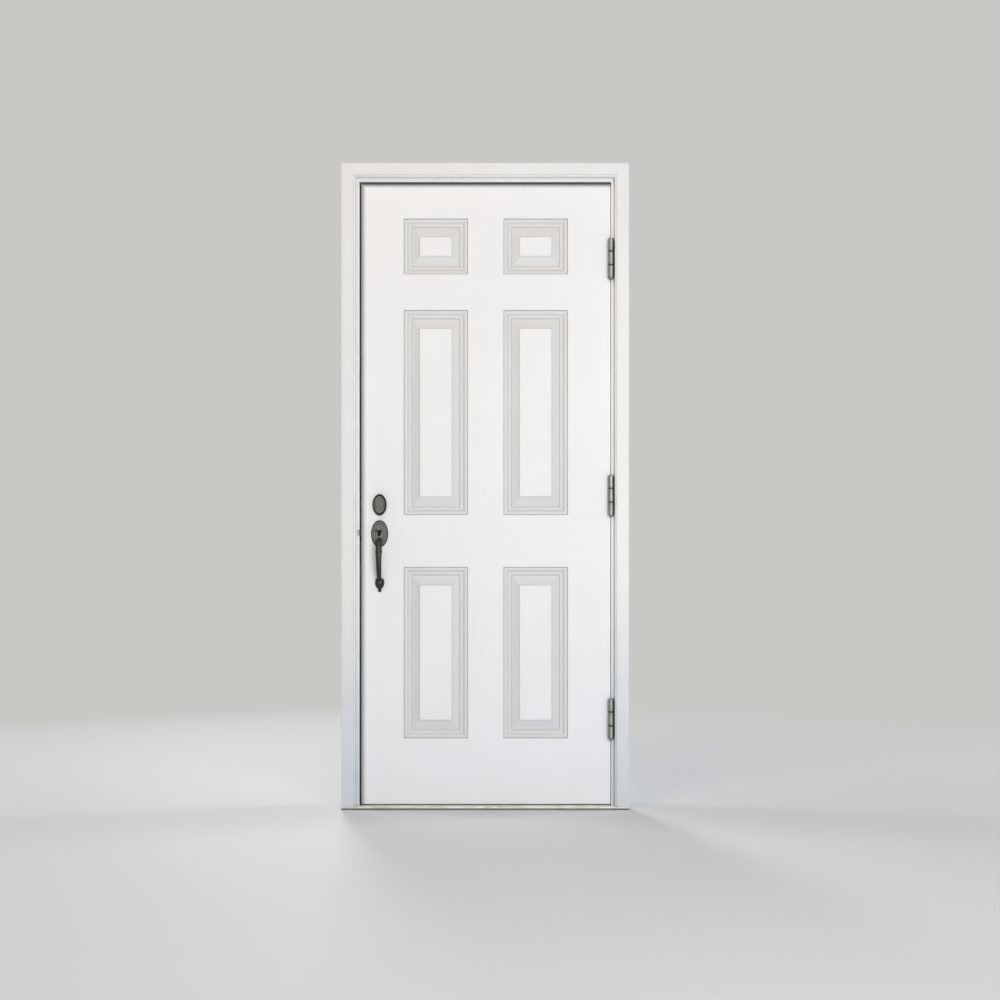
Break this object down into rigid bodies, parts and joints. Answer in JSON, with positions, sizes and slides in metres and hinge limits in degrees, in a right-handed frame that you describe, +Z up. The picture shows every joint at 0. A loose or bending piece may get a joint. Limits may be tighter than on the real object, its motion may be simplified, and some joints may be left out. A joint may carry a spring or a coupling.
{
  "type": "panelled entrance door in its frame",
  "caption": "Outswing raised-panel entrance door hung in its frame, with brickmould, metal threshold, heavy butt hinges, deadbolt and thumb-latch handleset.",
  "frame": {"origin": "on the floor under the sill, midway between the side jambs, level with the jambs' outer edges", "axes": "+X to the right seen from outside (hinge side), +Y inward through the doorway, +Z up"},
  "size_m": [0.924, 0.1646, 2.078],
  "materials": {
    "door_skin": "white satin paint on pressed steel sheet",
    "painted_wood": "white satin paint",
    "bare_wood": "bare softwood",
    "threshold_metal": "mill extrusion",
    "seal": "matte seal rubber",
    "foam": "rigid foam",
    "hinge_steel": "satin plated",
    "plated_steel": "satin plated",
    "lock_trim": "antique pewter plating"
  },
  "bodies": {
    "door_frame": {"hinge_jamb": "painted_wood", "latch_jamb": "painted_wood", "head_jamb": "painted_wood", "latch_stop": "painted_wood", "hinge_stop": "painted_wood", "head_stop": "painted_wood", "latch_side_brickmould": "painted_wood", "hinge_side_brickmould": "painted_wood", "head_brickmould": "painted_wood", "threshold_cap": "threshold_metal", "sill": "bare_wood", "threshold_seal": "seal", "latch_side_seal": "seal", "hinge_side_seal": "seal", "head_seal": "seal", "corner_pads": "seal", "top_hinge_jamb_plate": "hinge_steel", "middle_hinge_jamb_plate": "hinge_steel", "bottom_hinge_jamb_plate": "hinge_steel", "top_hinge_pin": "hinge_steel", "middle_hinge_pin": "hinge_steel", "bottom_hinge_pin": "hinge_steel", "hinge_bearings": "hinge_steel", "frame_hinge_screws": "plated_steel", "deadbolt_strike": "plated_steel", "latch_strike": "plated_steel", "strike_screws": "plated_steel"},
    "door_leaf": {"exterior_skin": "door_skin", "interior_skin": "door_skin", "foam_core": "foam", "hinge_stile": "bare_wood", "lock_stile": "bare_wood", "lock_block": "bare_wood", "top_rail": "bare_wood", "bottom_rail": "bare_wood", "bottom_sweep": "seal", "top_hinge_door_plate": "hinge_steel", "middle_hinge_door_plate": "hinge_steel", "bottom_hinge_door_plate": "hinge_steel", "door_hinge_screws": "plated_steel", "deadbolt_case": "plated_steel", "latch_case": "plated_steel", "deadbolt_faceplate": "plated_steel", "latch_faceplate": "plated_steel", "faceplate_screws": "plated_steel", "deadbolt_rose": "lock_trim", "deadbolt_inside_plate": "lock_trim", "escutcheon": "lock_trim", "grip_handle": "lock_trim", "grip_foot_bolt": "plated_steel", "latch_inside_rose": "lock_trim", "trim_screws": "plated_steel"},
    "deadbolt_slider": {"deadbolt": "plated_steel"},
    "deadbolt_turn": {"thumbturn": "lock_trim"},
    "cylinder_plug": {"key_plug": "plated_steel"},
    "latch_slider": {"latch_bolt": "plated_steel"},
    "thumb_lever": {"thumbpiece": "lock_trim"},
    "knob": {"inside_knob": "lock_trim"}
  },
  "joints": [
    {"name": "leaf_swing", "type": "hinge", "parent": "door_frame", "child": "door_leaf", "pos_m": [0.4056, -0.0102, 1], "axis": [0, 0, 1], "range_deg": [0, 150]},
    {"name": "deadbolt_throw", "type": "slide", "parent": "door_leaf", "child": "deadbolt_slider", "axis": [-1, 0, 0], "range_m": [0, 0.0254]},
    {"name": "thumbturn_turn", "type": "hinge", "parent": "door_leaf", "child": "deadbolt_turn", "pos_m": [-0.34135, 0.06, 0.9797], "axis": [0, 1, 0], "range_deg": [0, 90]},
    {"name": "key_plug_turn", "type": "hinge", "parent": "door_leaf", "child": "cylinder_plug", "pos_m": [-0.34135, 0, 0.9797], "axis": [0, 1, 0], "range_deg": [0, 90]},
    {"name": "latch_throw", "type": "slide", "parent": "door_leaf", "child": "latch_slider", "axis": [-1, 0, 0], "range_m": [0, 0.0127]},
    {"name": "knob_turn", "type": "hinge", "parent": "door_leaf", "child": "knob", "pos_m": [-0.34135, 0.08, 0.8897], "axis": [0, 1, 0], "range_deg": [0, 60]},
    {"name": "thumbpiece_pivot", "type": "hinge", "parent": "door_leaf", "child": "thumb_lever", "pos_m": [-0.34135, 0.0013, 0.8907], "axis": [-1, 0, 0], "range_deg": [0, 14]}
  ],
  "couplings": [
    {"joint": "thumbturn_turn", "follows": "deadbolt_throw", "rad_per_m": 61.8},
    {"joint": "knob_turn", "follows": "latch_throw", "rad_per_m": 82.4},
    {"joint": "thumbpiece_pivot", "follows": "latch_throw", "rad_per_m": 19.2}
  ]
}
